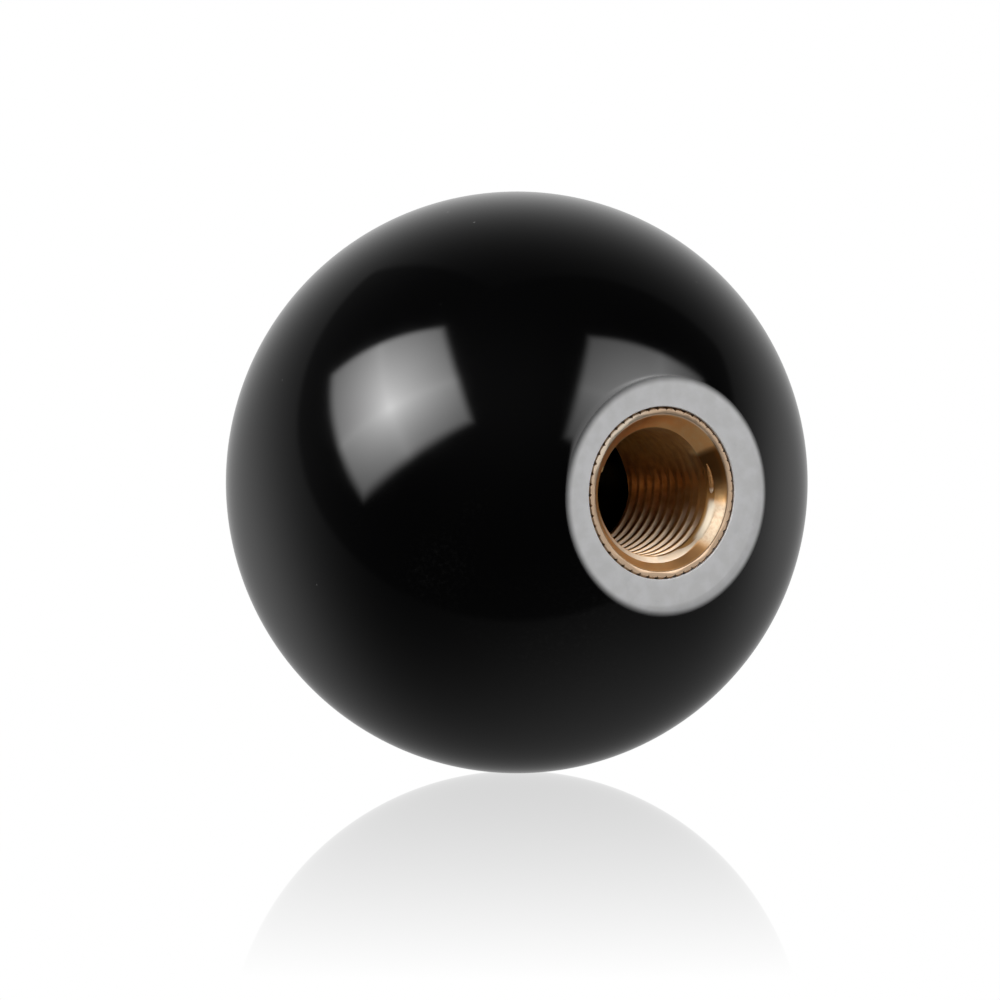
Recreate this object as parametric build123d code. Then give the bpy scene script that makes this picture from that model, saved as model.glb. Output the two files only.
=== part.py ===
from build123d import *
import os
from math import pi, radians, sqrt, tan

# Ball knob: a black moulded ball with a flat mounting face, and a knurled brass
# insert pressed into the bore of that face.
#
# Frame, in millimetres: the origin is the centre of the flat face, on the bore's
# axis. The bore's mouth looks along -Y, the ball lies along +Y, and +Z is up.
# Every section below is drawn as (radius, depth) in the XY plane and turned
# about the Y axis, so "depth" is the distance in from the flat face.

# Ball
ball_diameter = 42.0
face_diameter = 16.2
face_edge_radius = 0.5

# Thread of the insert, M10 x 1, drawn as a plain bore at its minor diameter
thread_major_diameter = 10.0
thread_pitch = 1.0
minor_diameter_rule = 1.0825

# Brass insert, with its wall measured outward from the thread's major diameter
insert_wall = 1.0
insert_length = 12.0
insert_recess = 0.05
insert_rim_chamfer = 0.15
insert_lead_chamfer = 0.5

# Straight knurl round the insert
knurl_pitch = 0.75
knurl_depth = 0.2
knurl_notch_angle = 74.0

# Two-step mouth of the bore, and the chamfer at its far end
mouth_relief = 0.45
mouth_step_inset = 0.12
mouth_half_angle = 37.0
lead_in_half_angle = 50.0
far_end_relief = 0.1
far_end_half_angle = 45.0

# Seat of the insert in the ball, and the blind hole behind it
press_allowance = 0.01
seat_edge_break = 0.05
stud_clearance = 0.1
stud_hole_depth = 20.0
stud_hole_chamfer = 1.0

ball_radius = ball_diameter / 2
face_radius = face_diameter / 2
ball_centre_depth = sqrt(ball_radius**2 - face_radius**2)
ball_back_depth = ball_centre_depth + ball_radius

thread_major_radius = thread_major_diameter / 2
thread_minor_radius = thread_major_radius - minor_diameter_rule * thread_pitch / 2

insert_radius = thread_major_radius + insert_wall
insert_far_depth = insert_recess + insert_length
knurl_teeth = round(2 * pi * insert_radius / knurl_pitch)

seat_radius = insert_radius + press_allowance
stud_hole_radius = thread_major_radius + stud_clearance


def turned(points):
    """Turns a closed section of (radius, depth) points about the Y axis."""
    with BuildPart() as body:
        with BuildSketch(Plane.XY):
            with BuildLine():
                Polyline(*points, close=True)
            make_face()
        revolve(axis=Axis.Y)
    return body.part


def ball_blank():
    """The ball with its flat face and the soft edge between the two."""
    with BuildPart() as body:
        with BuildSketch(Plane.XY):
            with BuildLine():
                Line((0, 0), (face_radius, 0))
                ThreePointArc(
                    (face_radius, 0),
                    (ball_radius, ball_centre_depth),
                    (0, ball_back_depth),
                )
                Line((0, ball_back_depth), (0, 0))
            make_face()
            rim = vertices().sort_by_distance(Vector(face_radius, 0))[0]
            fillet(rim, face_edge_radius)
        revolve(axis=Axis.Y)
    return body.part


def insert_seat():
    """The bore that takes the insert, down to the shoulder that stops it."""
    return turned([
        (0, 0),
        (seat_radius + seat_edge_break, 0),
        (seat_radius, seat_edge_break),
        (seat_radius, insert_far_depth),
        (0, insert_far_depth),
    ])


def stud_hole():
    """The blind hole behind the insert, which clears the end of a long stud."""
    return turned([
        (0, 0),
        (stud_hole_radius, 0),
        (stud_hole_radius, stud_hole_depth - stud_hole_chamfer),
        (stud_hole_radius - stud_hole_chamfer, stud_hole_depth),
        (0, stud_hole_depth),
    ])


def ball():
    return ball_blank() - insert_seat() - stud_hole()


def knurled_bar():
    """A bar the length of the insert with straight V notches round it."""
    root = insert_radius - knurl_depth
    cutter_radius = insert_radius + knurl_depth
    cutter_half_width = 2 * knurl_depth * tan(radians(knurl_notch_angle / 2))
    mouth_plane = Plane((0, insert_recess, 0), x_dir=(1, 0, 0), z_dir=(0, 1, 0))
    with BuildPart() as bar:
        with BuildSketch(mouth_plane):
            Circle(insert_radius)
            with PolarLocations(0, knurl_teeth):
                Polygon(
                    (root, 0),
                    (cutter_radius, -cutter_half_width),
                    (cutter_radius, cutter_half_width),
                    align=None,
                    mode=Mode.SUBTRACT,
                )
        extrude(amount=insert_length)
    return bar.part


def insert_envelope():
    """The turned outside of the insert: a rim chamfer and a lead for pressing in."""
    return turned([
        (0, insert_recess),
        (insert_radius - insert_rim_chamfer, insert_recess),
        (insert_radius, insert_recess + insert_rim_chamfer),
        (insert_radius, insert_far_depth - insert_lead_chamfer),
        (insert_radius - insert_lead_chamfer, insert_far_depth),
        (0, insert_far_depth),
    ])


def threaded_bore():
    """The bore with its two-step mouth and the chamfer at the far end."""
    minor = thread_minor_radius
    mouth = thread_major_radius + mouth_relief
    step = thread_major_radius - mouth_step_inset
    far_mouth = thread_major_radius + far_end_relief
    step_depth = insert_recess + (mouth - step) / tan(radians(mouth_half_angle))
    wall_start = step_depth + (step - minor) / tan(radians(lead_in_half_angle))
    wall_end = insert_far_depth - (far_mouth - minor) / tan(radians(far_end_half_angle))
    return turned([
        (0, insert_recess),
        (mouth, insert_recess),
        (step, step_depth),
        (minor, wall_start),
        (minor, wall_end),
        (far_mouth, insert_far_depth),
        (0, insert_far_depth),
    ])


def threaded_insert():
    return (knurled_bar() & insert_envelope()) - threaded_bore()


os.makedirs("parts", exist_ok=True)
for name, shape in {"ball": ball(), "threaded_insert": threaded_insert()}.items():
    solid = shape.solids()[0]
    export_step(solid, f"parts/{name}.step")
    print(name, "volume", round(solid.volume, 2), "mm3", solid.bounding_box())
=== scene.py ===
# %% [markdown]
# # Ball knob
# A glossy black ball knob with a flat grey face and a knurled, threaded brass insert.
# The measured solids are loaded first as a fixed frame. Every size below is in millimetres
# and is turned into metres by `MM`. The bore's mouth looks along -Y, the ball lies along +Y
# and +Z is up, and the origin is the middle of the flat face.

import math

import bmesh
import bpy
from mathutils import Matrix, Vector


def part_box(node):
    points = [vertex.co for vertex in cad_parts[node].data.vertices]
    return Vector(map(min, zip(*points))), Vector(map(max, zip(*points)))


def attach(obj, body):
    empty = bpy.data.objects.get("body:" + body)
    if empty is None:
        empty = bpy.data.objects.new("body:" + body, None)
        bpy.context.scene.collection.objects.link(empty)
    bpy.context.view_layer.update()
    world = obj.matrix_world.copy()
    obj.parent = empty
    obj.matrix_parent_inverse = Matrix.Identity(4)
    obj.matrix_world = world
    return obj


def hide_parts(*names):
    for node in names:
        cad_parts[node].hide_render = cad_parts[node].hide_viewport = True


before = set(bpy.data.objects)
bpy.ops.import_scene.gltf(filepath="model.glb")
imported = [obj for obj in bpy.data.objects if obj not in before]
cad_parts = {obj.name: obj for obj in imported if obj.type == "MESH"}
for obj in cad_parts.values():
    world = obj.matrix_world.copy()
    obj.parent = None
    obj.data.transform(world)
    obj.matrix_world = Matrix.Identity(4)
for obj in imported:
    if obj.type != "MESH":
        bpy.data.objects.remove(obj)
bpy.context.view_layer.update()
MM = 0.001

# %% [markdown]
# ## Sizes
# The ball's own sizes come from its node, so that the dressed ball is exactly as large.
# The rest are the sizes of the real knob: an M10 x 1 thread in a 12 mm insert.

# %% Sizes of the ball and the insert
ball_low, ball_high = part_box("ball")
insert_low, insert_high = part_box("threaded_insert")

BALL_RADIUS = (ball_high.x - ball_low.x) / 2
BALL_CENTRE = Vector((0, ball_high.y - BALL_RADIUS, 0))
FACE_RADIUS = math.sqrt(BALL_RADIUS**2 - BALL_CENTRE.y**2)
FACE_EDGE_RADIUS = 1.2 * MM

INSERT_RADIUS = 6.0 * MM
INSERT_NEAR = insert_low.y
INSERT_FAR = insert_high.y
RIM_CHAMFER = 0.15 * MM
LEAD_CHAMFER = 0.5 * MM
KNURL_TEETH = 50
KNURL_DEPTH = 0.25 * MM

MOUTH_RADIUS = 5.45 * MM
MOUTH_EDGE = 0.06 * MM
STEP_RADIUS = 4.88 * MM
STEP_DEPTH = INSERT_NEAR + 0.756 * MM
MINOR_RADIUS = 4.459 * MM
WALL_START = INSERT_NEAR + 1.11 * MM
FAR_MOUTH = 5.1 * MM
THREAD_RADIUS = 5.0 * MM
PITCH = 1.0 * MM

SEAT_RADIUS = 6.01 * MM
SEAT_EDGE = 0.05 * MM
STUD_HOLE_RADIUS = 5.1 * MM
STUD_HOLE_DEPTH = 20.0 * MM
STUD_HOLE_CHAMFER = 1.0 * MM
print("ball radius", BALL_RADIUS, "face radius", FACE_RADIUS, "insert", INSERT_NEAR, INSERT_FAR)

# %% [markdown]
# ## Helpers for the meshes
# A piece is built in one bmesh, whose operators do the shaping, and is then handed to a
# new object at the origin. The normals are recalculated once its doubles are merged, and
# edges sharper than 30 degrees stay crisp while the rest is shaded smooth.

# %% From a bmesh to a piece
MERGE_DISTANCE = 1e-7
CRISP_ANGLE = 30


def new_piece(name, bm):
    bmesh.ops.remove_doubles(bm, verts=bm.verts, dist=MERGE_DISTANCE)
    bmesh.ops.recalc_face_normals(bm, faces=bm.faces)
    mesh = bpy.data.meshes.new(name)
    bm.to_mesh(mesh)
    bm.free()
    piece = bpy.data.objects.new(name, mesh)
    bpy.context.scene.collection.objects.link(piece)
    shade(piece)
    return piece


def open_edges(mesh):
    """How many edges have a face on one side only. A closed mesh has none."""
    bm = bmesh.new()
    bm.from_mesh(mesh)
    count = sum(edge.is_boundary for edge in bm.edges)
    bm.free()
    return count


def shade(piece):
    mesh = piece.data
    mesh.shade_smooth()
    mesh.set_sharp_from_angle(angle=math.radians(CRISP_ANGLE))
    counts = len(mesh.vertices), "vertices,", len(mesh.polygons), "faces,"
    print(piece.name, *counts, open_edges(mesh), "open edges")


def radius_of(vert):
    """How far a vertex lies from the bore's axis."""
    return math.hypot(vert.co.x, vert.co.z)


# %% [markdown]
# ## The ball
# A ball knob is moulded round and then has a flat ground on it. The mesh is made the same
# way: a sphere with its poles on the bore's axis, cut by the plane of the face. The cut
# is closed by one face, and its rim gets the soft edge with a bevel. How far a rounding
# reaches from an edge follows from its radius and from how far the surface turns there.

# %% The ball with its flat face
BALL_SEGMENTS, BALL_RINGS = 256, 176
EDGE_SEGMENTS = 8


def close_cut(bm):
    """Closes the open edge that a cut leaves and returns the new face."""
    rim = [edge for edge in bm.edges if edge.is_boundary]
    return bmesh.ops.contextual_create(bm, geom=rim)["faces"][0]


def flat_ball():
    bm = bmesh.new()
    bmesh.ops.create_uvsphere(
        bm, u_segments=BALL_SEGMENTS, v_segments=BALL_RINGS, radius=BALL_RADIUS
    )
    bmesh.ops.rotate(bm, verts=bm.verts, matrix=Matrix.Rotation(math.pi / 2, 3, "X"))
    bmesh.ops.translate(bm, verts=bm.verts, vec=BALL_CENTRE)
    bmesh.ops.bisect_plane(
        bm,
        geom=bm.verts[:] + bm.edges[:] + bm.faces[:],
        plane_co=(0, 0, 0),
        plane_no=(0, -1, 0),
        clear_outer=True,
    )
    face = close_cut(bm)
    turn = math.asin(FACE_RADIUS / BALL_RADIUS)
    bmesh.ops.bevel(
        bm,
        geom=list(face.edges),
        offset=FACE_EDGE_RADIUS * math.tan(turn / 2),
        affect="EDGES",
        segments=EDGE_SEGMENTS,
        profile=0.5,
        material=-1,
    )
    return bm


def face_towards_mouth(bm):
    """The flat face is the one with the most corners that looks along -Y."""
    bm.normal_update()
    return max(bm.faces, key=lambda face: len(face.verts) * -face.normal.y)


ball_mesh = flat_ball()
ball_face = face_towards_mouth(ball_mesh)
print("face corners", len(ball_face.verts), "radius", radius_of(ball_face.verts[0]))

# %% [markdown]
# The bore goes in from that face. An extrusion makes the next circle, and moving it inward
# makes a chamfer, a wall or a shoulder, in the order in which a drill would cut them. The
# first circle stays on the flat, just inside the soft edge, so that the smooth shading of
# the edge ends there.

# %% The stepped bore
EDGE_SHADING = 0.6 * MM


def step_to(bm, face, radius, depth):
    """Draws a new ring of faces from the face's rim to a circle at that radius and depth."""
    ring = bmesh.ops.extrude_discrete_faces(bm, faces=[face])["faces"][0]
    for vert in ring.verts:
        reach = radius_of(vert)
        vert.co = (vert.co.x * radius / reach, depth, vert.co.z * radius / reach)
    return ring


def bored(bm, face):
    for radius, depth in (
        (FACE_RADIUS - EDGE_SHADING, 0),
        (SEAT_RADIUS + SEAT_EDGE, 0),
        (SEAT_RADIUS, SEAT_EDGE),
        (SEAT_RADIUS, INSERT_FAR),
        (STUD_HOLE_RADIUS, INSERT_FAR),
        (STUD_HOLE_RADIUS, STUD_HOLE_DEPTH - STUD_HOLE_CHAMFER),
        (STUD_HOLE_RADIUS - STUD_HOLE_CHAMFER, STUD_HOLE_DEPTH),
    ):
        face = step_to(bm, face, radius, depth)
    return bm


ball = new_piece("ball_moulding", bored(ball_mesh, ball_face))
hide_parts("ball")
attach(ball, "root")

# %% [markdown]
# ## The brass insert
# The real insert is a knurled bar that is drilled, countersunk and tapped. Each of those
# cuts is made here too. The bar starts as a circle whose points are pushed in to make the
# V notches, and it is drawn out along the axis with a chamfer at each end.

# %% The knurled bar
STEPS_PER_TOOTH = 10
NOTCH_WIDTH = 0.36 * MM


def knurl_radius(vert):
    """How far the bar reaches in the direction of a point: less where a notch is."""
    turn = math.atan2(vert.co.z, vert.co.x) / (2 * math.pi)
    place = (turn * KNURL_TEETH + 0.5) % 1 - 0.5
    off_centre = abs(place) * 2 * math.pi * INSERT_RADIUS / KNURL_TEETH
    return INSERT_RADIUS - KNURL_DEPTH * max(0, 1 - off_centre / (NOTCH_WIDTH / 2))


def knurl_to(face, depth, limit):
    """Moves the corners of a face to the knurled outline, at that depth and no further out."""
    for vert in face.verts:
        scale = min(knurl_radius(vert), limit) / radius_of(vert)
        vert.co = (vert.co.x * scale, depth, vert.co.z * scale)


def knurled_bar():
    bm = bmesh.new()
    bmesh.ops.create_circle(
        bm, cap_ends=True, segments=KNURL_TEETH * STEPS_PER_TOOTH, radius=INSERT_RADIUS
    )
    bmesh.ops.rotate(bm, verts=bm.verts, matrix=Matrix.Rotation(math.pi / 2, 3, "X"))
    [face] = bm.faces
    knurl_to(face, INSERT_NEAR, INSERT_RADIUS - RIM_CHAMFER)
    for depth, limit in (
        (INSERT_NEAR + RIM_CHAMFER, INSERT_RADIUS),
        (INSERT_FAR - LEAD_CHAMFER, INSERT_RADIUS),
        (INSERT_FAR, INSERT_RADIUS - LEAD_CHAMFER),
    ):
        out = bmesh.ops.extrude_face_region(bm, geom=[face])["geom"]
        face = [item for item in out if isinstance(item, bmesh.types.BMFace)][0]
        knurl_to(face, depth, limit)
    return bm


insert = new_piece("insert_brass", knurled_bar())

# %% [markdown]
# The drill and the countersinks are one turned cutter, and the tap is a V-shaped ridge
# that winds round the axis. `spin` makes both: a full turn for the first, and many turns
# with a small step along the axis for the second. A Boolean modifier takes them away.
# Each cutter starts at a small odd angle, its phase. Its edges then never lie exactly on
# those of the bar or of the other cutter, where a Boolean easily leaves a hole.

# %% The turned cutter for the bore and its mouth
TURN_STEPS = 192
DRILL_PHASE = 0.0131
PAST_THE_BAR = 1.0 * MM


def turned_cutter(section):
    """Turns a row of (radius, depth) points once round the Y axis."""
    bm = bmesh.new()
    row = [bm.verts.new((radius, depth, 0)) for radius, depth in section]
    edges = [bm.edges.new(pair) for pair in zip(row, row[1:])]
    bmesh.ops.rotate(bm, verts=row, matrix=Matrix.Rotation(DRILL_PHASE, 3, "Y"))
    bmesh.ops.spin(
        bm,
        geom=row + edges,
        cent=(0, 0, 0),
        axis=(0, 1, 0),
        angle=2 * math.pi,
        steps=TURN_STEPS,
        use_merge=True,
    )
    return bm


drill = new_piece("drill_cutter", turned_cutter([
    (0, INSERT_NEAR - PAST_THE_BAR / 2),
    (MOUTH_RADIUS + MOUTH_EDGE + PAST_THE_BAR, INSERT_NEAR - PAST_THE_BAR / 2),
    (MOUTH_RADIUS + MOUTH_EDGE, INSERT_NEAR),
    (MOUTH_RADIUS, INSERT_NEAR + MOUTH_EDGE / 2),
    (STEP_RADIUS, STEP_DEPTH),
    (MINOR_RADIUS, WALL_START),
    (MINOR_RADIUS, INSERT_FAR - (FAR_MOUTH - MINOR_RADIUS)),
    (FAR_MOUTH + PAST_THE_BAR, INSERT_FAR + PAST_THE_BAR),
    (0, INSERT_FAR + PAST_THE_BAR),
]))

# %% The tap
THREAD_START = -1.4 * MM
THREAD_TURNS = 15
THREAD_PHASE = 0.0057
TAP_STEPS = 128
TAP_HALF_TOP = 0.01 * MM
TAP_FOOT = 0.15 * MM
FLANK_ANGLE = 30


def tap_cutter():
    """A ridge with 60 degree sides that winds away from the mouth as it turns clockwise."""
    inner = MINOR_RADIUS - TAP_FOOT
    slope = math.tan(math.radians(FLANK_ANGLE))
    half_base = TAP_HALF_TOP + (THREAD_RADIUS - inner) * slope
    section = [
        (inner, -half_base),
        (THREAD_RADIUS, -TAP_HALF_TOP),
        (THREAD_RADIUS, TAP_HALF_TOP),
        (inner, half_base),
    ]
    bm = bmesh.new()
    row = [bm.verts.new((radius, THREAD_START + along, 0)) for radius, along in section]
    bmesh.ops.rotate(bm, verts=row, matrix=Matrix.Rotation(THREAD_PHASE, 3, "Y"))
    first = bm.faces.new(row)
    bmesh.ops.spin(
        bm,
        geom=[first],
        cent=(0, 0, 0),
        axis=(0, 1, 0),
        dvec=(0, PITCH / TAP_STEPS, 0),
        angle=2 * math.pi * THREAD_TURNS,
        steps=THREAD_TURNS * TAP_STEPS,
        use_merge=False,
    )
    return bm


tap = new_piece("tap_cutter", tap_cutter())

# %% Cut the bore and the thread
def cut(piece, cutter):
    step = piece.modifiers.new("cut", "BOOLEAN")
    step.operation = "DIFFERENCE"
    step.solver = "EXACT"
    step.object = cutter
    bpy.context.view_layer.update()
    shown = piece.evaluated_get(bpy.context.evaluated_depsgraph_get())
    mesh = bpy.data.meshes.new_from_object(shown)
    piece.modifiers.clear()
    piece.data = mesh
    bpy.data.objects.remove(cutter)
    shade(piece)


cut(insert, drill)
cut(insert, tap)

# %% [markdown]
# An old film of oil has set in the upper half of the thread and nearly fills its grooves
# there. The bottoms of the grooves are raised for it, the more the higher they lie.

# %% The filled grooves
FILM_FROM, FILM_TO = -1.0 * MM, 1.5 * MM
FILM_FILL = 0.95
JUST_PAST = 1.002


def fill_grooves(piece):
    raised = 0
    for vert in piece.data.vertices:
        reach = radius_of(vert)
        in_groove = MINOR_RADIUS * JUST_PAST < reach < THREAD_RADIUS * JUST_PAST
        if not in_groove or vert.co.y < WALL_START:
            continue
        share = min(max((vert.co.z - FILM_FROM) / (FILM_TO - FILM_FROM), 0), 1)
        scale = 1 + (MINOR_RADIUS / reach - 1) * FILM_FILL * share
        vert.co.x *= scale
        vert.co.z *= scale
        raised += share > 0
    print("raised groove points:", raised)


fill_grooves(insert)
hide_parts("threaded_insert")
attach(insert, "root")

# %% [markdown]
# Where the first turn of the thread runs out, the tap has left a burr: a thin curved
# ridge on the inner countersink. It is a stretched sphere that is bent round the axis and
# is thicker at its lower end.

# %% The burr at the start of the thread
BURR_RADIUS = 4.69 * MM
BURR_DEPTH = 0.95 * MM
BURR_FROM, BURR_TO = 24.0, -2.0
BURR_THICKNESS = 0.17 * MM
BURR_TAPER = 0.35


def thread_burr():
    bm = bmesh.new()
    bmesh.ops.create_uvsphere(bm, u_segments=16, v_segments=32, radius=1)
    middle = math.radians((BURR_FROM + BURR_TO) / 2)
    half = math.radians((BURR_FROM - BURR_TO) / 2)
    for vert in bm.verts:
        across, inward, along = vert.co
        thick = BURR_THICKNESS * (1.0 - BURR_TAPER * along)
        turn = middle + half * along
        reach = BURR_RADIUS + across * thick
        vert.co = (reach * math.cos(turn), BURR_DEPTH + inward * thick, reach * math.sin(turn))
    return bm


burr = new_piece("thread_burr", thread_burr())
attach(burr, "root")

# %% [markdown]
# ## Finishes
# Each finish is a node tree on Object coordinates, scaled to millimetres, so that its
# numbers can be compared with the sizes above. The same short helpers also build the
# trees of the lamps and of the studio. A finish is made of masks, which run from zero to
# one and say where something is, and of colours that are mixed by them. A cloudy mask is
# a noise, given by five numbers: its scale per millimetre, its detail, its roughness, and
# the two noise values that become zero and one.

# %% Helpers for the node trees
class Nodes:
    """Short ways to add the nodes of one tree and to link them."""

    def __init__(self, tree):
        self.tree = tree

    def add(self, kind, **settings):
        node = self.tree.nodes.new(kind)
        for key, value in settings.items():
            setattr(node, key, value)
        return node

    def feed(self, socket, value):
        """Sets a socket to a number or colour, or links it to another node."""
        if isinstance(value, bpy.types.NodeSocket):
            self.tree.links.new(value, socket)
        elif isinstance(value, tuple) and socket.type == "RGBA":
            socket.default_value = (*value, 1)
        else:
            socket.default_value = value

    def math(self, operation, first, second=0.0):
        node = self.add("ShaderNodeMath", operation=operation)
        self.feed(node.inputs[0], first)
        self.feed(node.inputs[1], second)
        return node.outputs[0]

    def times(self, first, *others):
        """Multiplies all its values."""
        for other in others:
            first = self.math("MULTIPLY", first, other)
        return first

    def ramp(self, value, low, high, start=0.0, end=1.0):
        """Eases from start to end while the value goes from low to high."""
        node = self.add("ShaderNodeMapRange", interpolation_type="SMOOTHSTEP")
        for socket, number in zip(node.inputs, (value, low, high, start, end)):
            self.feed(socket, number)
        return node.outputs["Result"]

    def band(self, value, zero_below, one_from, one_to, zero_above):
        """One while the value is in a band, and eased down to zero on both sides of it."""
        rising = self.ramp(value, zero_below, one_from)
        return self.times(rising, self.ramp(value, one_to, zero_above, 1, 0))

    def mix(self, factor, first, second):
        """Mixes two colours or two numbers, which are tuples, numbers or other nodes."""
        plain = [v for v in (first, second) if not isinstance(v, bpy.types.NodeSocket)]
        sample = plain[0] if plain else first
        colours = isinstance(sample, tuple) or getattr(sample, "type", "") == "RGBA"
        node = self.add("ShaderNodeMix", data_type="RGBA" if colours else "FLOAT")
        sockets = [socket for socket in node.inputs if socket.enabled]
        for socket, value in zip(sockets, (factor, first, second)):
            self.feed(socket, value)
        return [socket for socket in node.outputs if socket.enabled][0]

    def noise(self, vector, scale, detail, roughness):
        node = self.add("ShaderNodeTexNoise")
        self.feed(node.inputs["Vector"], vector)
        self.feed(node.inputs["Scale"], scale)
        self.feed(node.inputs["Detail"], detail)
        self.feed(node.inputs["Roughness"], roughness)
        return node.outputs["Fac"]

    def length(self, across, upward):
        """The distance from zero of a point that two numbers give."""
        squares = [self.math("MULTIPLY", value, value) for value in (across, upward)]
        return self.math("SQRT", self.math("ADD", *squares))


# %% Helpers for one finish
class Finish(Nodes):
    """A material, its shader, and where a point lies in millimetres."""

    def __init__(self, name):
        self.material = bpy.data.materials.new(name)
        self.material.use_nodes = True
        super().__init__(self.material.node_tree)
        self.shader = self.tree.nodes["Principled BSDF"]
        scaled = self.add("ShaderNodeMapping")
        self.feed(scaled.inputs["Scale"], (1 / MM, 1 / MM, 1 / MM))
        self.feed(scaled.inputs["Vector"], self.add("ShaderNodeTexCoord").outputs["Object"])
        self.place = scaled.outputs[0]
        parts = self.add("ShaderNodeSeparateXYZ")
        self.feed(parts.inputs[0], self.place)
        self.x, self.depth, self.z = parts.outputs
        self.from_axis = self.length(self.x, self.z)

    def give(self, name, value):
        """Gives the shader one of its inputs."""
        self.feed(self.shader.inputs[name], value)

    def cloud(self, scale, detail, roughness, low, high, start=0.0, end=1.0):
        """A noise that is stretched, so that low becomes start and high becomes end."""
        return self.ramp(self.noise(self.place, scale, detail, roughness), low, high, start, end)

    def bump(self, height, distance, strength):
        """Raises the surface by up to the distance, in millimetres."""
        node = self.add("ShaderNodeBump")
        self.feed(node.inputs["Height"], height)
        self.feed(node.inputs["Distance"], distance * MM)
        self.feed(node.inputs["Strength"], strength)
        self.give("Normal", node.outputs[0])


# %% [markdown]
# ### Black moulding and its ground face
# The ball is black phenolic with a moulded gloss. Its flat face is ground to a light
# satin grey. The grinding is a little off the bore's centre and fades out slowly on the
# left. So two circles mark its edge: inside the first it is fully ground, outside the
# second it is still glossy, and in between the mask depends on how near each of them is.
# The gloss goes before the black does, so the roughness rises first. The bore behind the
# insert and the back of the ball are left out of both masks.

# %% Where the face is ground
GROUND_INSIDE = (0.52, -0.28, 7.85)
GROUND_OUTSIDE = (0.48, -0.22, 8.48)
SEAT_WALL = (6.0, 6.01)
FRONT_ONLY = (0.8, 1.2)
ROUGH_FROM = 0.3


def past_circle(finish, circle):
    """How far a point lies outside a circle, given as (x, z, radius)."""
    across = finish.math("SUBTRACT", finish.x, circle[0])
    upward = finish.math("SUBTRACT", finish.z, circle[1])
    return finish.math("SUBTRACT", finish.length(across, upward), circle[2])


def ground_masks(finish):
    """Where the face is ground: first for the colour, then for the roughness."""
    out_of_first = finish.math("MAXIMUM", past_circle(finish, GROUND_INSIDE), 0.0)
    short_of_second = finish.times(past_circle(finish, GROUND_OUTSIDE), -1.0)
    left_in_second = finish.math("MAXIMUM", short_of_second, 0.0)
    way_across = finish.math("ADD", out_of_first, left_in_second)
    share = finish.math("DIVIDE", left_in_second, way_across)
    outside_seat = finish.ramp(finish.from_axis, *SEAT_WALL)
    here = finish.times(outside_seat, finish.ramp(finish.depth, *FRONT_ONLY, 1, 0))
    return [finish.times(finish.ramp(share, 0, full), here) for full in (1, ROUGH_FROM)]


# %% [markdown]
# Up close the ground face is not even. It is cloudy, it has a few darker stains, and it is
# a shade lighter beside the insert. The gloss has a slight haze, and it holds single
# specks of dust and a few patches of finer dust.

# %% The grey of the ground face
GREYS = (0.72, 0.72, 0.72), (0.79, 0.79, 0.80)
GREY_CLOUDS = (0.9, 4, 0.5, 0.35, 0.7)
GREY_STAIN, GREY_STAIN_OPACITY = (0.58, 0.59, 0.61), 0.35
GREY_STAIN_CLOUDS = (0.55, 6, 0.6, 0.6, 0.72)
PALE_GREY, PALE_OPACITY = (0.86, 0.86, 0.87), 0.3
PALE_RADII = (6.1, 6.7)


def stained_grey(finish):
    grey = finish.mix(finish.cloud(*GREY_CLOUDS), *GREYS)
    stain_and_painted_shade = finish.cloud(*GREY_STAIN_CLOUDS, 0, GREY_STAIN_OPACITY)
    grey = finish.mix(stain_and_painted_shade, grey, GREY_STAIN)
    beside_insert = finish.ramp(finish.from_axis, *PALE_RADII, PALE_OPACITY, 0)
    return finish.mix(beside_insert, grey, PALE_GREY)


# %% Dust on the gloss
CELLS_PER_MM = 0.42
SPECK_RADII = (0.012, 0.045)
CHOSEN_CELLS = (0.65, 0.9)
DUSTY_PATCHES = (0.075, 2, 0.5, 0.58, 0.74)
DUST_GRAINS = (3.5, 4, 0.7, 0.45, 0.75)


def specks(finish):
    """Small specks, which about a quarter of the cells of a Voronoi pattern hold."""
    cells = finish.add("ShaderNodeTexVoronoi")
    finish.feed(cells.inputs["Vector"], finish.place)
    finish.feed(cells.inputs["Scale"], CELLS_PER_MM)
    speck = finish.ramp(cells.outputs["Distance"], *SPECK_RADII, 1, 0)
    chosen = finish.add("ShaderNodeSeparateColor")
    finish.feed(chosen.inputs[0], cells.outputs["Color"])
    return finish.times(speck, finish.ramp(chosen.outputs[0], *CHOSEN_CELLS))


def fine_dust(finish):
    """A few grainy patches of fine dust."""
    return finish.times(finish.cloud(*DUSTY_PATCHES), finish.cloud(*DUST_GRAINS))


# %% The ball's finish
BLACK = (0.0012, 0.0012, 0.0013)
FINE_DUST = (0.006, 0.006, 0.006)
SPECK = (0.12, 0.12, 0.12)
GLOSSY, GROUND = (0.07, 0.1), 0.5
GLOSS_CLOUDS = (0.25, 5, 0.5, 0.3, 0.75)
PHENOLIC_IOR = 1.55


def ball_finish():
    finish = Finish("black_moulding_and_ground_face")
    ground, scuffed = ground_masks(finish)
    black = finish.mix(fine_dust(finish), BLACK, FINE_DUST)
    black = finish.mix(specks(finish), black, SPECK)
    finish.give("Base Color", finish.mix(ground, black, stained_grey(finish)))
    gloss = finish.cloud(*GLOSS_CLOUDS, *GLOSSY)
    finish.give("Roughness", finish.mix(scuffed, gloss, GROUND))
    finish.give("IOR", PHENOLIC_IOR)
    return finish.material


ball.data.materials.append(ball_finish())
print("ball finish nodes:", len(ball.data.materials[0].node_tree.nodes))

# %% [markdown]
# ### Brass
# The insert is bare brass, and each of its surfaces has a look of its own: the lip was
# faced together with the ball, the mouth was turned, and the bore was tapped. The first
# masks tell these surfaces apart by how deep a point lies and how far from the axis. The
# inner countersink looks like the thread in the lower half and like the mouth at the top.

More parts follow.
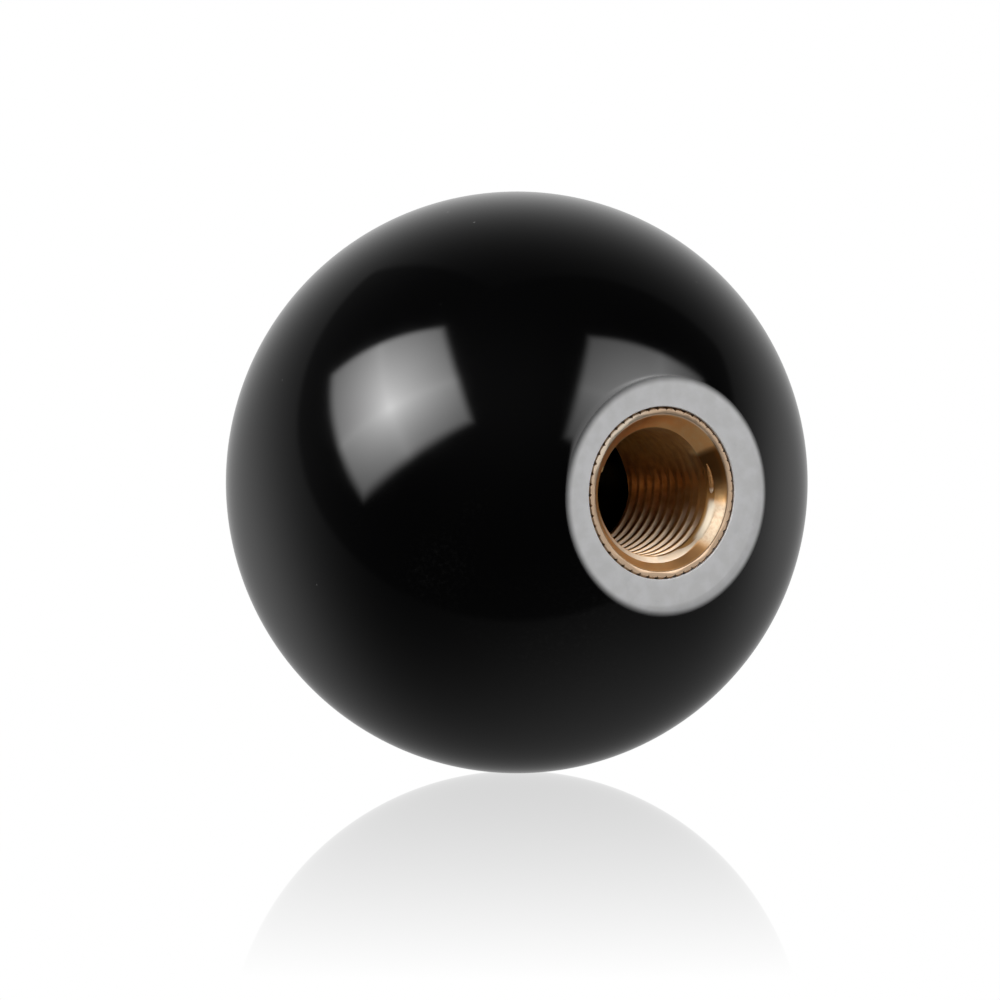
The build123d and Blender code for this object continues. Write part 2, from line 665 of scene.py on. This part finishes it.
# %% The surfaces of the insert
LIP_DEPTHS = (INSERT_NEAR / MM + 0.03, INSERT_NEAR / MM + 0.06)
LIP_FROM = (MOUTH_RADIUS / MM - 0.03, MOUTH_RADIUS / MM)
LIP_EDGE_TO = (MOUTH_RADIUS / MM + 0.04, MOUTH_RADIUS / MM + 0.06)
KNURL_FROM = (INSERT_RADIUS / MM - 0.25, INSERT_RADIUS / MM - 0.2)
TOP_HALF = (0.0, 2.0)
STEP_SOFTNESS = 0.02


def in_thread_mask(finish):
    """The thread, and in the lower half the inner countersink too."""
    deeper = finish.ramp(finish.z, *TOP_HALF, 0, (WALL_START - STEP_DEPTH) / MM)
    begins = finish.math("ADD", deeper, STEP_DEPTH / MM)
    past_step = finish.math("SUBTRACT", finish.depth, begins)
    return finish.ramp(past_step, -STEP_SOFTNESS, STEP_SOFTNESS)


def rim_masks(finish):
    """The lip, its broken inner edge, and the knurl round the insert."""
    at_rim = finish.ramp(finish.depth, *LIP_DEPTHS, 1, 0)
    on_lip = finish.times(at_rim, finish.ramp(finish.from_axis, *LIP_FROM))
    lip_edge = finish.ramp(finish.from_axis, *LIP_EDGE_TO, 1, 0)
    past_rim = finish.math("SUBTRACT", 1.0, at_rim)
    on_knurl = finish.times(past_rim, finish.ramp(finish.from_axis, *KNURL_FROM))
    return on_lip, lip_edge, on_knurl


# %% [markdown]
# Use has left marks on these surfaces, and light and shade are painted on some of them. An old
# film of oil lies in the upper half of the thread, where the thread is painted a shaded brown,
# and a brown crescent lies at the lower right, before the first turn. The right of the mouth is
# painted dark with a sharp upper end, as shade where it mirrors the dark part of the studio.
# Above that the mouth is dull, and below it the mouth is painted pale as a highlight and is
# rough. Angles are in degrees round the axis, with 0 at +X and 90 at the top, and a band of them
# has four: where the mark begins, where it is full, where it starts to fade and where it ends.

# %% The marks of use and the painted light
# Painted shade: the right of the mouth is painted dark where it mirrors the dark part of the
# studio.
MOUTH_SHADE_ANGLES = (-12, 14, 31, 38)
# Painted highlight: below that, the mouth is painted pale where the left softbox shows in it.
HIGHLIGHT_PATCH_ANGLES = (-49, -39, -13, -5)
DULL_ANGLES = (34, 40, 58, 75)
MOUTH_SHADE_DEPTHS = (1.2, 3.4)
HIGHLIGHT_PATCH_DEPTHS = (0.95, 1.12)
FILM_AND_SHADE_HEIGHTS = (-3.4, -0.6)
FILM_AND_SHADE_WAVES, WAVE_HEIGHT = (0.5, 2, 0.5, 0.3, 0.7), 0.5
CRESCENT_MIDDLE, CRESCENT_REACH = 3.4, 1.5
CRESCENT_FROM, CRESCENT_BULGE = 4.46, 0.26
CRESCENT_HEIGHTS = (-1.4, -1.0)
CRESCENT_DEPTHS = (WALL_START / MM + 0.02, WALL_START / MM + 0.06)
CRESCENT_SOFTNESS = 0.03


def oil_film_and_shade(finish):
    """The film, where the thread is also painted a shaded brown, above a wavy line that crosses
    the bore below its axis.
    """
    wave = finish.cloud(*FILM_AND_SHADE_WAVES, -WAVE_HEIGHT, WAVE_HEIGHT)
    return finish.ramp(finish.math("ADD", finish.z, wave), *FILM_AND_SHADE_HEIGHTS)


def brown_crescent(finish):
    """The brown crescent at the foot of the inner countersink, out to an edge that is a
    parabola.
    """
    off_middle = finish.math("SUBTRACT", finish.x, CRESCENT_MIDDLE)
    across = finish.math("DIVIDE", off_middle, CRESCENT_REACH)
    bulge = finish.times(across, across, -CRESCENT_BULGE)
    edge = finish.math("ADD", bulge, CRESCENT_FROM + CRESCENT_BULGE)
    past_edge = finish.math("SUBTRACT", finish.from_axis, edge)
    inside = finish.ramp(past_edge, -CRESCENT_SOFTNESS, CRESCENT_SOFTNESS, 1, 0)
    below = finish.ramp(finish.z, *CRESCENT_HEIGHTS, 1, 0)
    before_thread = finish.ramp(finish.depth, *CRESCENT_DEPTHS, 1, 0)
    return finish.times(inside, below, before_thread)


# Where the right of the mouth is painted dark, as shade.
def painted_mouth_shade(finish, angle):
    along = finish.band(angle, *MOUTH_SHADE_ANGLES)
    return finish.times(along, finish.ramp(finish.depth, *MOUTH_SHADE_DEPTHS, 1, 0))


# Where the right of the mouth is painted pale as a highlight, and made rougher.
def painted_highlight_patch(finish, angle):
    along = finish.band(angle, *HIGHLIGHT_PATCH_ANGLES)
    return finish.times(along, finish.ramp(finish.depth, *HIGHLIGHT_PATCH_DEPTHS, 1, 0))


# %% [markdown]
# The colours come in pairs where a soft cloudy tone runs between two of them. The turned mouth
# is orange brass, and painted browner at the lower right as shade. The lip is painted paler at
# the upper left as a highlight. Its inner edge is painted pale at the top as a highlight, and is
# dull and darker elsewhere, which tones down its own highlight. Outside the film the thread is
# painted pale as a highlight, with browner crests as painted shade. In the film it is painted a
# shaded brown, darkest towards the mouth, and olive at the top.

# %% The colours of the brass
TURNED = (1.0, 0.55, 0.22), (1.0, 0.62, 0.28)
# Painted shade: the turned mouth is painted browner at the lower right.
TURNED_SHADE = (0.66, 0.36, 0.15)
TURNED_SHADE_ANGLES = (-85, -65, -52, -42)
# Painted highlight: the lip is painted paler at the upper left, where the left softbox shows on
# it.
LIP, LIP_HIGHLIGHT = (0.66, 0.48, 0.33), (0.86, 0.73, 0.58)
LIP_HIGHLIGHT_ANGLES = (95, 120, 150, 178)
# The lip's inner edge is painted pale at the top as a highlight, and darker elsewhere to tone
# down its own highlight.
SHADED_LIP_EDGE, LIP_EDGE_HIGHLIGHT = (0.40, 0.28, 0.18), (1.0, 0.82, 0.64)
EDGE_HIGHLIGHT_ANGLES = (35, 55, 120, 140)
# Painted highlight: outside the film the thread is painted pale, where the softboxes light it.
LIT_THREAD = (0.94, 0.74, 0.54), (0.98, 0.82, 0.64)
# Painted shade: the crests are painted browner, where they mirror the dark bore.
SHADED_CREST = (0.66, 0.37, 0.15)
CREST_TO = (MINOR_RADIUS / MM + 0.01, MINOR_RADIUS / MM + 0.06)
# Painted shade: in the film the thread is painted brown, darker near the mouth and olive at the
# top.
SHADE_BROWNS = (0.58, 0.34, 0.14), (0.84, 0.52, 0.24)
DEEP_BROWN, DEEP_BROWN_OPACITY = (0.36, 0.16, 0.04), 0.8
DEEP_BROWN_DEPTHS = (3.0, 8.0)
OLIVE = (0.78, 0.60, 0.32), (1.0, 0.81, 0.46)
OLIVE_HEIGHTS = (0.8, 3.2)
CRESCENT_BROWN = (0.45, 0.24, 0.08)


def mouth_colour(finish, tone, angle):
    # The lower right of the mouth is painted browner, as shade.
    shaded_brown = finish.band(angle, *TURNED_SHADE_ANGLES)
    return finish.mix(shaded_brown, finish.mix(tone, *TURNED), TURNED_SHADE)


def lip_colour(finish, lip_edge, angle):
    # The lip is painted paler at the upper left, as a highlight.
    lip = finish.mix(finish.band(angle, *LIP_HIGHLIGHT_ANGLES), LIP, LIP_HIGHLIGHT)
    # Painted highlight at the top of the inner edge, painted darker elsewhere.
    edge = finish.mix(finish.band(angle, *EDGE_HIGHLIGHT_ANGLES), SHADED_LIP_EDGE, LIP_EDGE_HIGHLIGHT)
    return finish.mix(lip_edge, lip, edge)


def thread_colour(finish, tone, film_and_shade):
    # The crests are painted browner, as shade.
    crest = finish.ramp(finish.from_axis, *CREST_TO, 1, 0)
    lit_thread = finish.mix(crest, finish.mix(tone, *LIT_THREAD), SHADED_CREST)
    near_mouth = finish.ramp(finish.depth, *DEEP_BROWN_DEPTHS, DEEP_BROWN_OPACITY, 0)
    shaded_brown = finish.mix(near_mouth, finish.mix(tone, *SHADE_BROWNS), DEEP_BROWN)
    shaded_thread = finish.mix(finish.ramp(finish.z, *OLIVE_HEIGHTS), shaded_brown, finish.mix(tone, *OLIVE))
    # The lower half is painted pale as a highlight, and the upper half brown as shade.
    tapped = finish.mix(film_and_shade, lit_thread, shaded_thread)
    return finish.mix(brown_crescent(finish), tapped, CRESCENT_BROWN)


# %% [markdown]
# Bare metal is nearly fully metallic, and the dull part and the film less so. The film is also
# smoother than the tapped brass, and the part painted pale as a highlight is the roughest. Fine
# tool marks run round the axis: they are a noise that reads only the distance to the axis and
# the depth, so that it is the same all the way round.

# %% The insert's finish
CLOUDY_TONE = (1.6, 5, 0.5, 0.3, 0.7)
# Painted highlight: pale tints for the right of the mouth, palest at the step.
HIGHLIGHT_TINT, HIGHLIGHT_TINT_AT_STEP = ((0.92, 0.73, 0.52), (1.0, 0.84, 0.64)), (1.0, 0.88, 0.69)
HIGHLIGHT_TINT_CLOUDS = (4.5, 4, 0.6, 0.4, 0.6)
STEP_DEPTHS = (STEP_DEPTH / MM - 0.15, STEP_DEPTH / MM + 0.05)
# Painted shade: a dark brown for the right of the mouth, less dark at the lip.
MOUTH_SHADE, MOUTH_SHADE_AT_LIP = (0.17, 0.065, 0.012), (0.34, 0.12, 0.02)
MOUTH_SHADE_RADII = (5.15, 5.4)
MOUTH_SHADE_OPACITY = 0.88
# Painted shade: the knurl and the rim chamfer are painted darker, for the dark ring round the
# insert.
KNURL_SHADE = (0.50, 0.34, 0.21)
METALLIC_LIP, METALLIC_BARE, METALLIC_DULL, METALLIC_FILM = 1.0, 0.88, 0.45, 0.3
ROUGH_MOUTH, ROUGH_THREAD, ROUGH_FILM = 0.48, 0.42, 0.34
ROUGH_HIGHLIGHT_PATCH, ROUGH_HIGHLIGHT_PATCH_STEP = 0.6, 0.46
ROUGH_LIP, ROUGH_LIP_EDGE = 0.42, 0.75
SMEARS, SMEAR_STRENGTH = (2.5, 4, 0.5, 0.3, 0.7), 0.03
OIL_TINT = (1.0, 0.55, 0.25)
TOOL_MARKS = (14.0, 3, 0.6)
MARK_HEIGHT, MARK_STRENGTH = 0.004, 0.6


def tool_marks(finish):
    around = finish.add("ShaderNodeCombineXYZ")
    finish.feed(around.inputs[0], finish.from_axis)
    finish.feed(around.inputs[1], finish.depth)
    return finish.noise(around.outputs[0], *TOOL_MARKS)


def brass_finish():
    finish = Finish("turned_brass")
    angle = finish.times(finish.math("ARCTAN2", finish.z, finish.x), 180 / math.pi)
    on_lip, lip_edge, on_knurl = rim_masks(finish)
    in_thread = in_thread_mask(finish)
    at_step = finish.ramp(finish.depth, *STEP_DEPTHS)
    highlight_patch = painted_highlight_patch(finish, angle)
    film_and_shade = finish.mix(highlight_patch, oil_film_and_shade(finish), 0.0)

    tone = finish.cloud(*CLOUDY_TONE)
    mouth = mouth_colour(finish, tone, angle)
    colour = finish.mix(in_thread, mouth, thread_colour(finish, tone, film_and_shade))
    highlight_tint = finish.mix(at_step, finish.mix(finish.cloud(*HIGHLIGHT_TINT_CLOUDS), *HIGHLIGHT_TINT), HIGHLIGHT_TINT_AT_STEP)
    # The right of the mouth is painted pale, as a highlight.
    colour = finish.mix(highlight_patch, colour, highlight_tint)
    # The right of the mouth is painted dark, as shade.
    stain_and_painted_shade = finish.mix(finish.ramp(finish.from_axis, *MOUTH_SHADE_RADII), MOUTH_SHADE, MOUTH_SHADE_AT_LIP)
    mouth_shade_share = finish.times(painted_mouth_shade(finish, angle), MOUTH_SHADE_OPACITY)
    colour = finish.mix(mouth_shade_share, colour, stain_and_painted_shade)
    colour = finish.mix(on_lip, colour, lip_colour(finish, lip_edge, angle))
    # The knurl and the rim chamfer are painted darker, as shade.
    finish.give("Base Color", finish.mix(on_knurl, colour, KNURL_SHADE))

    dull = finish.mix(finish.band(angle, *DULL_ANGLES), METALLIC_BARE, METALLIC_DULL)
    bare = finish.mix(on_lip, dull, METALLIC_LIP)
    finish.give("Metallic", finish.mix(finish.times(film_and_shade, in_thread), bare, METALLIC_FILM))
    finish.give("Specular Tint", OIL_TINT)

    open_side = finish.mix(in_thread, ROUGH_MOUTH, ROUGH_THREAD)
    highlight_side = finish.mix(at_step, ROUGH_HIGHLIGHT_PATCH, ROUGH_HIGHLIGHT_PATCH_STEP)
    inside = finish.mix(film_and_shade, finish.mix(highlight_patch, open_side, highlight_side), ROUGH_FILM)
    lip = finish.mix(lip_edge, ROUGH_LIP, ROUGH_LIP_EDGE)
    smear = finish.cloud(*SMEARS, -SMEAR_STRENGTH, SMEAR_STRENGTH)
    finish.give("Roughness", finish.math("ADD", finish.mix(on_lip, inside, lip), smear))
    finish.bump(tool_marks(finish), MARK_HEIGHT, MARK_STRENGTH)
    return finish.material


insert.data.materials.append(brass_finish())
print("brass nodes:", len(insert.data.materials[0].node_tree.nodes))

# %% [markdown]
# The burr is torn brass, not turned. It is orange and rough along most of its length, and its
# lower, free end is painted pale as a highlight.

# %% The burr's finish
TORN = (0.36, 0.18, 0.06), (0.50, 0.26, 0.10)
TORN_GRAIN = (6.0, 3, 0.5, 0.35, 0.65)
# Painted highlight: the burr's lower, free end is painted pale.
BURR_TIP_HIGHLIGHT, END_HEIGHTS = (1.0, 0.86, 0.68), (0.0, 0.3)
METALLIC_TORN, ROUGH_TORN = 0.7, 0.6


def burr_finish():
    finish = Finish("torn_brass")
    orange = finish.mix(finish.cloud(*TORN_GRAIN), *TORN)
    at_end = finish.ramp(finish.z, *END_HEIGHTS, 1, 0)
    finish.give("Base Color", finish.mix(at_end, orange, BURR_TIP_HIGHLIGHT))
    finish.give("Metallic", METALLIC_TORN)
    finish.give("Roughness", ROUGH_TORN)
    return finish.material


burr.data.materials.append(burr_finish())
print("burr nodes:", len(burr.data.materials[0].node_tree.nodes))

# %% [markdown]
# ## Floor
# The floor is plain and pale. Close to the ball it has a faint sheen that mirrors the
# ball and dies away, and it casts no light of its own on the knob.

# %% The pale floor
FLOOR_HEIGHT = -BALL_RADIUS
FLOOR_SIZE = 6.0
SHEEN_REACH = 115.0
SHEEN_STRENGTH = 0.335
SHEEN_FALL = 1.6


def sheen(finish):
    """How much of the floor's light is a mirror image, by the distance from the ball."""
    from_ball = finish.add("ShaderNodeVectorMath", operation="DISTANCE")
    finish.feed(from_ball.inputs[0], finish.place)
    finish.feed(from_ball.inputs[1], (0, BALL_CENTRE.y / MM, FLOOR_HEIGHT / MM))
    share = finish.math("DIVIDE", from_ball.outputs["Value"], SHEEN_REACH)
    left = finish.math("SUBTRACT", 1.0, finish.math("POWER", share, SHEEN_FALL))
    return finish.times(finish.math("MAXIMUM", left, 0.0), SHEEN_STRENGTH)


def floor_finish():
    finish = Finish("pale_floor")
    finish.tree.nodes.remove(finish.shader)
    mirror = finish.add("ShaderNodeBsdfGlossy")
    finish.feed(mirror.inputs["Color"], (1.0, 1.0, 1.0))
    finish.feed(mirror.inputs["Roughness"], 0.0)
    both = finish.add("ShaderNodeMixShader")
    finish.feed(both.inputs[0], sheen(finish))
    finish.feed(both.inputs[1], finish.add("ShaderNodeEmission").outputs[0])
    finish.feed(both.inputs[2], mirror.outputs[0])
    finish.feed(finish.tree.nodes["Material Output"].inputs["Surface"], both.outputs[0])
    return finish.material


def pale_floor():
    bm = bmesh.new()
    bmesh.ops.create_grid(bm, x_segments=2, y_segments=2, size=FLOOR_SIZE / 2)
    bmesh.ops.translate(bm, verts=bm.verts, vec=(0, BALL_CENTRE.y, FLOOR_HEIGHT))
    floor = new_piece("pale_floor", bm)
    floor.data.materials.append(floor_finish())
    floor.visible_glossy = False
    floor.visible_diffuse = False


pale_floor()

# %% [markdown]
# ## Light
# Two square softboxes light the knob, one from the left and one from the front right. A
# softbox is not evenly bright. It has a hot spot in front of its lamp, a faint cross where
# its cloth was folded, and soft borders. All of that shows in the black gloss, so each
# area light gets it from its own Parametric coordinates, which run from 0 to 1.

# %% The glow of a softbox
HOT_SPOT = (0.552, 0.614)
LAMP_FALL = ((1.45, 1.0), (1.7, 0.8))
LAMP_FADE = -2.31
FOLD_FADE = -17.0
FOLD_STRENGTH = 0.09
BORDER = 0.09


def softbox_glow(nodes):
    place = nodes.add("ShaderNodeSeparateXYZ")
    nodes.feed(place.inputs[0], nodes.add("ShaderNodeNewGeometry").outputs["Parametric"])
    off = [nodes.math("SUBTRACT", place.outputs[i], HOT_SPOT[i]) for i in (0, 1)]
    reach, folds = [], []
    for away, (ahead, behind) in zip(off, LAMP_FALL):
        reach.append(nodes.math("MAXIMUM", nodes.times(away, ahead), nodes.times(away, -behind)))
        fold = nodes.times(nodes.math("ABSOLUTE", away), FOLD_FADE)
        folds.append(nodes.math("EXPONENT", fold))
    lamp = nodes.math("EXPONENT", nodes.times(nodes.length(*reach), LAMP_FADE))
    cross = nodes.times(nodes.math("ADD", *folds), FOLD_STRENGTH)
    from_middle = [nodes.math("SUBTRACT", place.outputs[i], 0.5) for i in (0, 1)]
    edge = nodes.math("MAXIMUM", *[nodes.math("ABSOLUTE", away) for away in from_middle])
    inside = nodes.ramp(edge, 0.5 - BORDER, 0.5, 1, 0)
    return nodes.times(nodes.math("ADD", lamp, cross), inside)


# %% The two softboxes
def towards(longitude, latitude):
    """A direction from the ball: 0 degrees is straight out of the bore, 90 is +X."""
    lon, lat = math.radians(longitude), math.radians(latitude)
    return Vector((math.sin(lon) * math.cos(lat), -math.cos(lon) * math.cos(lat), math.sin(lat)))


def softbox(name, direction, facing, roll_axis, side, strength):
    """A square area light at one metre, turned so that its own X lies along roll_axis."""
    light = bpy.data.lights.new(name, "AREA")
    light.shape = "SQUARE"
    light.size = side
    light.energy = strength * math.pi * side * side
    light.use_nodes = True
    nodes = Nodes(light.node_tree)
    nodes.feed(light.node_tree.nodes["Emission"].inputs["Strength"], softbox_glow(nodes))
    lamp = bpy.data.objects.new(name, light)
    along_z = -Vector(facing).normalized()
    along_x = Vector(roll_axis).normalized()
    turn = Matrix((along_x, along_z.cross(along_x), along_z)).transposed().to_4x4()
    lamp.matrix_world = Matrix.Translation(BALL_CENTRE + Vector(direction)) @ turn
    bpy.context.scene.collection.objects.link(lamp)
    print(name, "at", tuple(round(number, 3) for number in lamp.matrix_world.translation))


softbox(
    "left_softbox",
    direction=towards(-89.5, 33.7),
    facing=(0.969, 0.120, -0.217),
    roll_axis=(-0.229, 0.764, -0.603),
    side=0.992,
    strength=11.4,
)
softbox(
    "right_softbox",
    direction=towards(24.1, 29.5),
    facing=(-0.388, 0.897, -0.211),
    roll_axis=(-0.470, -0.389, -0.792),
    side=1.01,
    strength=5.3,
)

# %% [markdown]
# The studio behind the knob is a pale sweep, lit unevenly, and in front of it is darkness.
# The world is built from round glows: each is brightest in one direction and fades round
# it, the faster the tighter it is. Straight edges show in the gloss too: the front edge of
# the table, past which the room is dark, and two edges of the sweep. Each is given by a
# direction at right angles to the plane through the ball and that edge. The camera itself
# sees a plain white backdrop, and so does the sheen of the floor.

# %% The studio around them
DARKNESS = 0.004
ROOM_SHARE = 0.38
GLOWS = {
    "sweep behind the ball": (148.4, 17.6, 5.22, 0.687),
    "sweep on the left": (-154.1, -11.5, 6.69, 0.472),
    "sweep on the right": (92.8, -4.0, 12.5, 0.325),
    "table under the ball": (93.0, -65.4, 3.02, 0.202),
}
HAZE = (-39.0, 36.0, 8.0, 0.035)
TABLE_EDGE = (-0.418, -0.678, 0.602)
SWEEP_FRONT = (0.08, 0.995, 0.04)
SWEEP_SIDE = (0.986, 0.042, 0.157)
EDGE_SOFTNESS = 0.03


class Studio(Nodes):
    """The world's node tree, and the direction in which a ray looks."""

    def __init__(self):
        world = bpy.data.worlds.new("studio")
        bpy.context.scene.world = world
        world.use_nodes = True
        super().__init__(world.node_tree)
        self.background = self.tree.nodes["Background"]
        self.direction = self.add("ShaderNodeTexCoord").outputs["Generated"]

    def closeness(self, centre):
        """One towards the centre, zero at right angles to it."""
        node = self.add("ShaderNodeVectorMath", operation="DOT_PRODUCT")
        self.feed(node.inputs[0], self.direction)
        self.feed(node.inputs[1], tuple(centre))
        return node.outputs["Value"]

    def glow(self, longitude, latitude, tightness, strength):
        off = self.math("SUBTRACT", self.closeness(towards(longitude, latitude)), 1.0)
        return self.times(self.math("EXPONENT", self.times(off, tightness)), strength)

    def past(self, edge):
        """One on one side of a straight edge and zero on the other."""
        return self.ramp(self.closeness(edge), -EDGE_SOFTNESS, EDGE_SOFTNESS)


def light_studio():
    studio = Studio()
    light = 0.0
    for glow in GLOWS.values():
        light = studio.math("ADD", studio.glow(*glow), light)
    on_sweep = studio.times(studio.past(SWEEP_FRONT), studio.past(SWEEP_SIDE))
    off_sweep = studio.math("SUBTRACT", 1.0, on_sweep)
    in_room = studio.times(studio.past(TABLE_EDGE), off_sweep)
    light = studio.times(light, studio.mix(in_room, 1.0, ROOM_SHARE))
    light = studio.math("ADD", studio.math("ADD", light, studio.glow(*HAZE)), DARKNESS)
    path = studio.add("ShaderNodeLightPath")
    seen = studio.math("MAXIMUM", path.outputs["Is Camera Ray"], path.outputs["Is Singular Ray"])
    studio.feed(studio.background.inputs["Color"], (1.0, 1.0, 1.0))
    studio.feed(studio.background.inputs["Strength"], studio.math("MAXIMUM", light, seen))
    print("world nodes:", len(studio.tree.nodes))


light_studio()

# %% [markdown]
# ## Camera
# A long lens looks at the ball from its left and slightly above, so that the bore shows
# its thread. The shift puts the ball a little right of and above the middle.

# %% The camera
CAMERA_AZIMUTH = -31.452
CAMERA_ELEVATION = 2.577
CAMERA_DISTANCE = 0.42
SENSOR_WIDTH = 36
FOCAL_LENGTH = 209.3
SHIFT = (-0.01677, -0.01761)
NEAREST = 0.01


def studio_camera():
    lens = bpy.data.cameras.new("studio_camera")
    lens.sensor_width = SENSOR_WIDTH
    lens.lens = FOCAL_LENGTH
    lens.shift_x, lens.shift_y = SHIFT
    lens.clip_start = NEAREST
    camera = bpy.data.objects.new("studio_camera", lens)
    camera.location = BALL_CENTRE + CAMERA_DISTANCE * towards(CAMERA_AZIMUTH, CAMERA_ELEVATION)
    gaze = BALL_CENTRE - camera.location
    camera.rotation_euler = gaze.to_track_quat("-Z", "Y").to_euler()
    bpy.context.scene.collection.objects.link(camera)
    bpy.context.scene.camera = camera
    print("camera at", tuple(round(number, 4) for number in camera.location))


studio_camera()
bpy.context.scene.view_settings.view_transform = "Standard"
